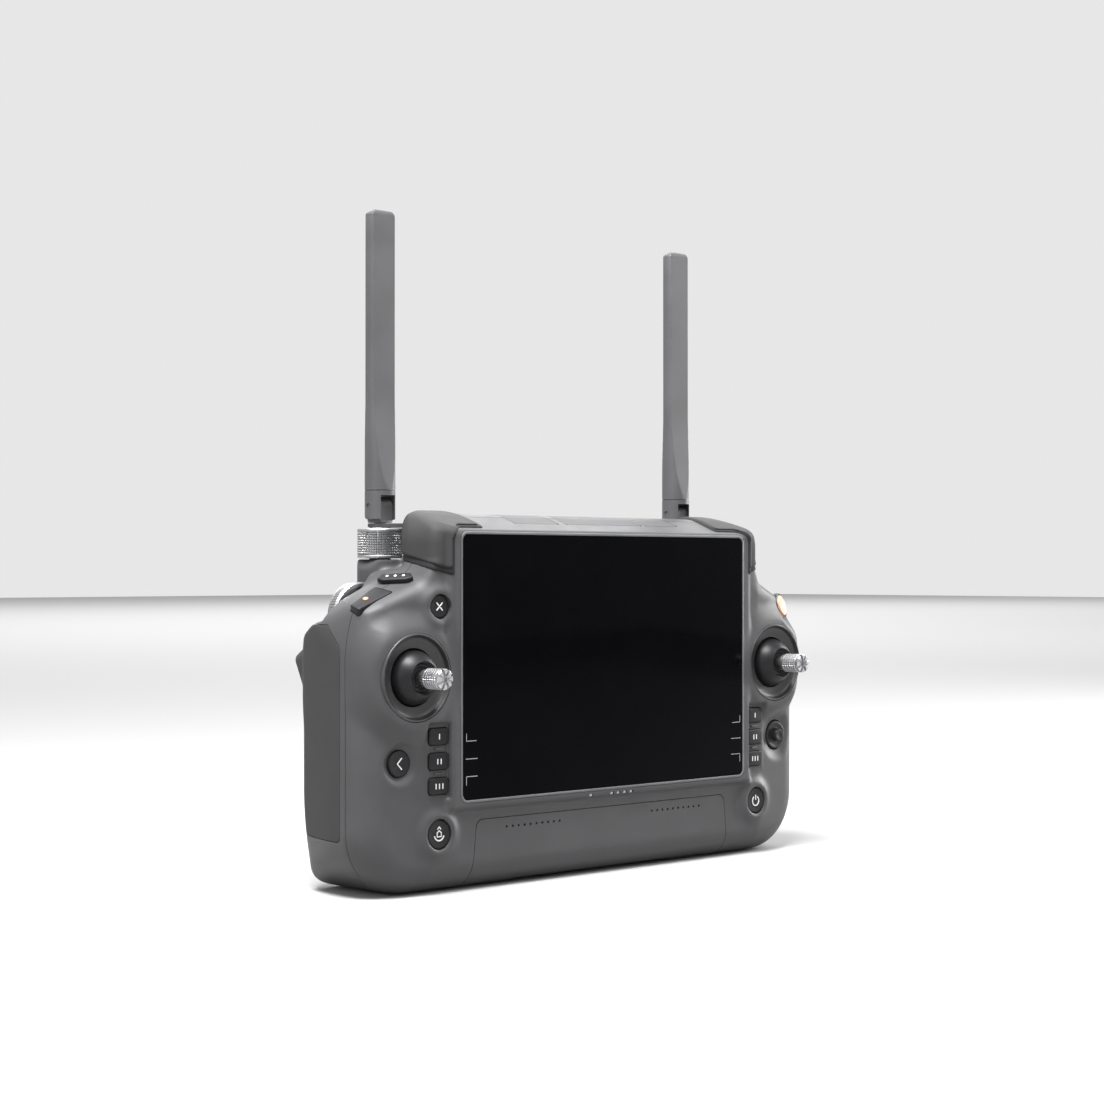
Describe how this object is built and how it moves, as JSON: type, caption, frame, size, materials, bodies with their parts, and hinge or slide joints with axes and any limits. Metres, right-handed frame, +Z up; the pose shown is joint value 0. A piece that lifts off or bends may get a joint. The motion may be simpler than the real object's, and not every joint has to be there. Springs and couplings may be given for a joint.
{
  "type": "radio transmitter controller",
  "caption": "Handheld radio transmitter with a landscape touchscreen, spring-centred sticks, keys, dials, rubber grips and folding blade antennas.",
  "frame": {"origin": "on the base plane, under the middle of the overall box", "axes": "+X to the user's right along the screen, +Y away from the user, +Z up along the antennas"},
  "size_m": [0.268, 0.0944, 0.2829],
  "materials": {
    "shell_plastic": "fine textured",
    "grip_rubber": "matte",
    "bumper_rubber": "matte",
    "bezel_metal": "satin",
    "cover_glass": "polished",
    "display_black": "polished",
    "light_window": "translucent",
    "button_plastic": "satin",
    "record_orange": "satin",
    "dome_plastic": "satin",
    "knurled_metal": "knurled satin",
    "antenna_plastic": "fine textured",
    "steel": "brushed",
    "socket_metal": "satin",
    "board_green": "satin",
    "battery_wrap": "satin"
  },
  "bodies": {
    "case": {"front_shell": "shell_plastic", "rear_shell": "shell_plastic", "chin_cover": "shell_plastic", "screen_bezel": "bezel_metal", "screen_glass": "cover_glass", "display_module": "display_black", "status_lights": "light_window", "left_grip_pad": "grip_rubber", "right_grip_pad": "grip_rubber", "left_bumper": "bumper_rubber", "right_bumper": "bumper_rubber", "case_screws": "steel", "port_sockets": "socket_metal", "port_tray": "shell_plastic", "main_board": "board_green", "battery": "battery_wrap", "heat_sink": "socket_metal", "left_gimbal_housing": "dome_plastic", "right_gimbal_housing": "dome_plastic", "left_antenna_bracket": "shell_plastic", "right_antenna_bracket": "shell_plastic"},
    "left_yoke": {"left_yoke": "dome_plastic"},
    "left_stick": {"left_stick_shaft": "dome_plastic", "left_stick_cap": "knurled_metal", "left_dome": "dome_plastic"},
    "left_antenna_swivel": {"left_antenna_swivel": "antenna_plastic"},
    "left_antenna": {"left_antenna_blade": "antenna_plastic"},
    "left_dial": {"left_dial": "knurled_metal"},
    "left_index_wheel": {"left_index_wheel": "knurled_metal"},
    "left_key_1": {"left_key_1": "button_plastic"},
    "left_key_2": {"left_key_2": "button_plastic"},
    "left_key_3": {"left_key_3": "button_plastic"},
    "left_rear_button": {"left_rear_button": "button_plastic"},
    "right_yoke": {"right_yoke": "dome_plastic"},
    "right_stick": {"right_stick_shaft": "dome_plastic", "right_stick_cap": "knurled_metal", "right_dome": "dome_plastic"},
    "right_antenna_swivel": {"right_antenna_swivel": "antenna_plastic"},
    "right_antenna": {"right_antenna_blade": "antenna_plastic"},
    "right_dial": {"right_dial": "knurled_metal"},
    "right_index_wheel": {"right_index_wheel": "knurled_metal"},
    "right_key_1": {"right_key_1": "button_plastic"},
    "right_key_2": {"right_key_2": "button_plastic"},
    "right_key_3": {"right_key_3": "button_plastic"},
    "right_rear_button": {"right_rear_button": "button_plastic"},
    "back_button": {"back_button": "button_plastic"},
    "home_button": {"home_button": "button_plastic"},
    "power_button": {"power_button": "button_plastic"},
    "function_button": {"function_button": "button_plastic"},
    "pause_button": {"pause_button": "button_plastic"},
    "record_button": {"record_button": "record_orange"},
    "mode_slider": {"mode_slider": "button_plastic"},
    "five_way_plunger": {"five_way_plunger": "button_plastic"},
    "five_way_cradle": {"five_way_cradle": "button_plastic"},
    "five_way_cap": {"five_way_cap": "button_plastic"},
    "port_cover_left": {"port_cover_left": "shell_plastic"},
    "port_cover_middle": {"port_cover_middle": "shell_plastic"},
    "port_cover_right": {"port_cover_right": "shell_plastic"},
    "battery_cover": {"battery_cover": "shell_plastic"},
    "cover_latch": {"cover_latch": "button_plastic"}
  },
  "joints": [
    {"name": "left_stick_pitch", "type": "hinge", "parent": "case", "child": "left_yoke", "pos_m": [-0.1095, -0.0253, 0.0881], "axis": [1, 0, 0], "range_deg": [-22, 22], "stiffness_Nm_per_rad": 0.05},
    {"name": "left_stick_roll", "type": "hinge", "parent": "left_yoke", "child": "left_stick", "pos_m": [-0.1095, -0.0253, 0.0881], "axis": [0, 0, 1], "range_deg": [-22, 22], "stiffness_Nm_per_rad": 0.05},
    {"name": "left_antenna_turn", "type": "hinge", "parent": "case", "child": "left_antenna_swivel", "pos_m": [-0.091, 0.0164, 0.15], "axis": [0, 0, 1], "range_deg": [-85.5, 90]},
    {"name": "left_antenna_fold", "type": "hinge", "parent": "left_antenna_swivel", "child": "left_antenna", "pos_m": [-0.091, 0.0164, 0.1581], "axis": [-1, 0, 0], "range_deg": [0, 90]},
    {"name": "left_dial_turn", "type": "hinge", "parent": "case", "child": "left_dial", "pos_m": [-0.091, 0.0164, 0.142], "axis": [0, 0, 1], "continuous": true},
    {"name": "left_index_wheel_turn", "type": "hinge", "parent": "case", "child": "left_index_wheel", "pos_m": [-0.1068, 0.0114, 0.1124], "axis": [0, 1, 0], "range_deg": [-30, 30], "stiffness_Nm_per_rad": 0.02},
    {"name": "left_key_1_press", "type": "slide", "parent": "case", "child": "left_key_1", "axis": [0, 1, 0], "range_m": [0, 0.0008], "stiffness_N_per_m": 400},
    {"name": "left_key_2_press", "type": "slide", "parent": "case", "child": "left_key_2", "axis": [0, 1, 0], "range_m": [0, 0.0008], "stiffness_N_per_m": 400},
    {"name": "left_key_3_press", "type": "slide", "parent": "case", "child": "left_key_3", "axis": [0, 1, 0], "range_m": [0, 0.0008], "stiffness_N_per_m": 400},
    {"name": "left_rear_button_press", "type": "slide", "parent": "case", "child": "left_rear_button", "axis": [0, -1, 0], "range_m": [0, 0.0008], "stiffness_N_per_m": 400},
    {"name": "right_stick_pitch", "type": "hinge", "parent": "case", "child": "right_yoke", "pos_m": [0.1095, -0.0253, 0.0881], "axis": [1, 0, 0], "range_deg": [-22, 22], "stiffness_Nm_per_rad": 0.05},
    {"name": "right_stick_roll", "type": "hinge", "parent": "right_yoke", "child": "right_stick", "pos_m": [0.1095, -0.0253, 0.0881], "axis": [0, 0, 1], "range_deg": [-22, 22], "stiffness_Nm_per_rad": 0.05},
    {"name": "right_antenna_turn", "type": "hinge", "parent": "case", "child": "right_antenna_swivel", "pos_m": [0.091, 0.0164, 0.15], "axis": [0, 0, 1], "range_deg": [-90, 94.5]},
    {"name": "right_antenna_fold", "type": "hinge", "parent": "right_antenna_swivel", "child": "right_antenna", "pos_m": [0.091, 0.0164, 0.1581], "axis": [-1, 0, 0], "range_deg": [0, 90]},
    {"name": "right_dial_turn", "type": "hinge", "parent": "case", "child": "right_dial", "pos_m": [0.091, 0.0164, 0.142], "axis": [0, 0, 1], "continuous": true},
    {"name": "right_index_wheel_turn", "type": "hinge", "parent": "case", "child": "right_index_wheel", "pos_m": [0.1068, 0.0114, 0.1124], "axis": [0, 1, 0], "range_deg": [-30, 30], "stiffness_Nm_per_rad": 0.02},
    {"name": "right_key_1_press", "type": "slide", "parent": "case", "child": "right_key_1", "axis": [0, 1, 0], "range_m": [0, 0.0008], "stiffness_N_per_m": 400},
    {"name": "right_key_2_press", "type": "slide", "parent": "case", "child": "right_key_2", "axis": [0, 1, 0], "range_m": [0, 0.0008], "stiffness_N_per_m": 400},
    {"name": "right_key_3_press", "type": "slide", "parent": "case", "child": "right_key_3", "axis": [0, 1, 0], "range_m": [0, 0.0008], "stiffness_N_per_m": 400},
    {"name": "right_rear_button_press", "type": "slide", "parent": "case", "child": "right_rear_button", "axis": [0, -1, 0], "range_m": [0, 0.0008], "stiffness_N_per_m": 400},
    {"name": "back_button_press", "type": "slide", "parent": "case", "child": "back_button", "axis": [0, 1, 0], "range_m": [0, 0.0008], "stiffness_N_per_m": 400},
    {"name": "home_button_press", "type": "slide", "parent": "case", "child": "home_button", "axis": [0, 1, 0], "range_m": [0, 0.0008], "stiffness_N_per_m": 400},
    {"name": "power_button_press", "type": "slide", "parent": "case", "child": "power_button", "axis": [0, 1, 0], "range_m": [0, 0.0008], "stiffness_N_per_m": 400},
    {"name": "function_button_press", "type": "slide", "parent": "case", "child": "function_button", "axis": [0, 1, 0], "range_m": [0, 0.0008], "stiffness_N_per_m": 400},
    {"name": "pause_button_press", "type": "slide", "parent": "case", "child": "pause_button", "axis": [0.3958, 0.2639, -0.8796], "range_m": [0, 0.0008], "stiffness_N_per_m": 400},
    {"name": "record_button_press", "type": "slide", "parent": "case", "child": "record_button", "axis": [-0.3792, 0.8882, -0.2595], "range_m": [0, 0.0012], "stiffness_N_per_m": 400},
    {"name": "mode_slider_shift", "type": "slide", "parent": "case", "child": "mode_slider", "axis": [0.619, -0.7842, 0.0433], "range_m": [-0.0025, 0.0025]},
    {"name": "five_way_press", "type": "slide", "parent": "case", "child": "five_way_plunger", "axis": [0, 1, 0], "range_m": [0, 0.0005], "stiffness_N_per_m": 500},
    {"name": "five_way_up_down", "type": "hinge", "parent": "five_way_plunger", "child": "five_way_cradle", "pos_m": [0.1152, -0.0201, 0.0537], "axis": [1, 0, 0], "range_deg": [-5, 5], "stiffness_Nm_per_rad": 0.03},
    {"name": "five_way_left_right", "type": "hinge", "parent": "five_way_cradle", "child": "five_way_cap", "pos_m": [0.1152, -0.0201, 0.0537], "axis": [0, 0, 1], "range_deg": [-5, 5], "stiffness_Nm_per_rad": 0.03},
    {"name": "port_cover_left_open", "type": "hinge", "parent": "case", "child": "port_cover_left", "pos_m": [-0.03525, -0.0054, 0.1544], "axis": [-1, 0, 0], "range_deg": [0, 100]},
    {"name": "port_cover_middle_open", "type": "hinge", "parent": "case", "child": "port_cover_middle", "pos_m": [0.0055, -0.0054, 0.1544], "axis": [-1, 0, 0], "range_deg": [0, 100]},
    {"name": "port_cover_right_open", "type": "hinge", "parent": "case", "child": "port_cover_right", "pos_m": [0.04175, -0.0054, 0.1544], "axis": [-1, 0, 0], "range_deg": [0, 100]},
    {"name": "battery_cover_open", "type": "hinge", "parent": "case", "child": "battery_cover", "pos_m": [0, 0.02025, 0.0271], "axis": [-1, 0, 0], "range_deg": [0, 95]},
    {"name": "cover_latch_release", "type": "slide", "parent": "case", "child": "cover_latch", "axis": [0, 0, 1], "range_m": [0, 0.002], "stiffness_N_per_m": 600}
  ]
}
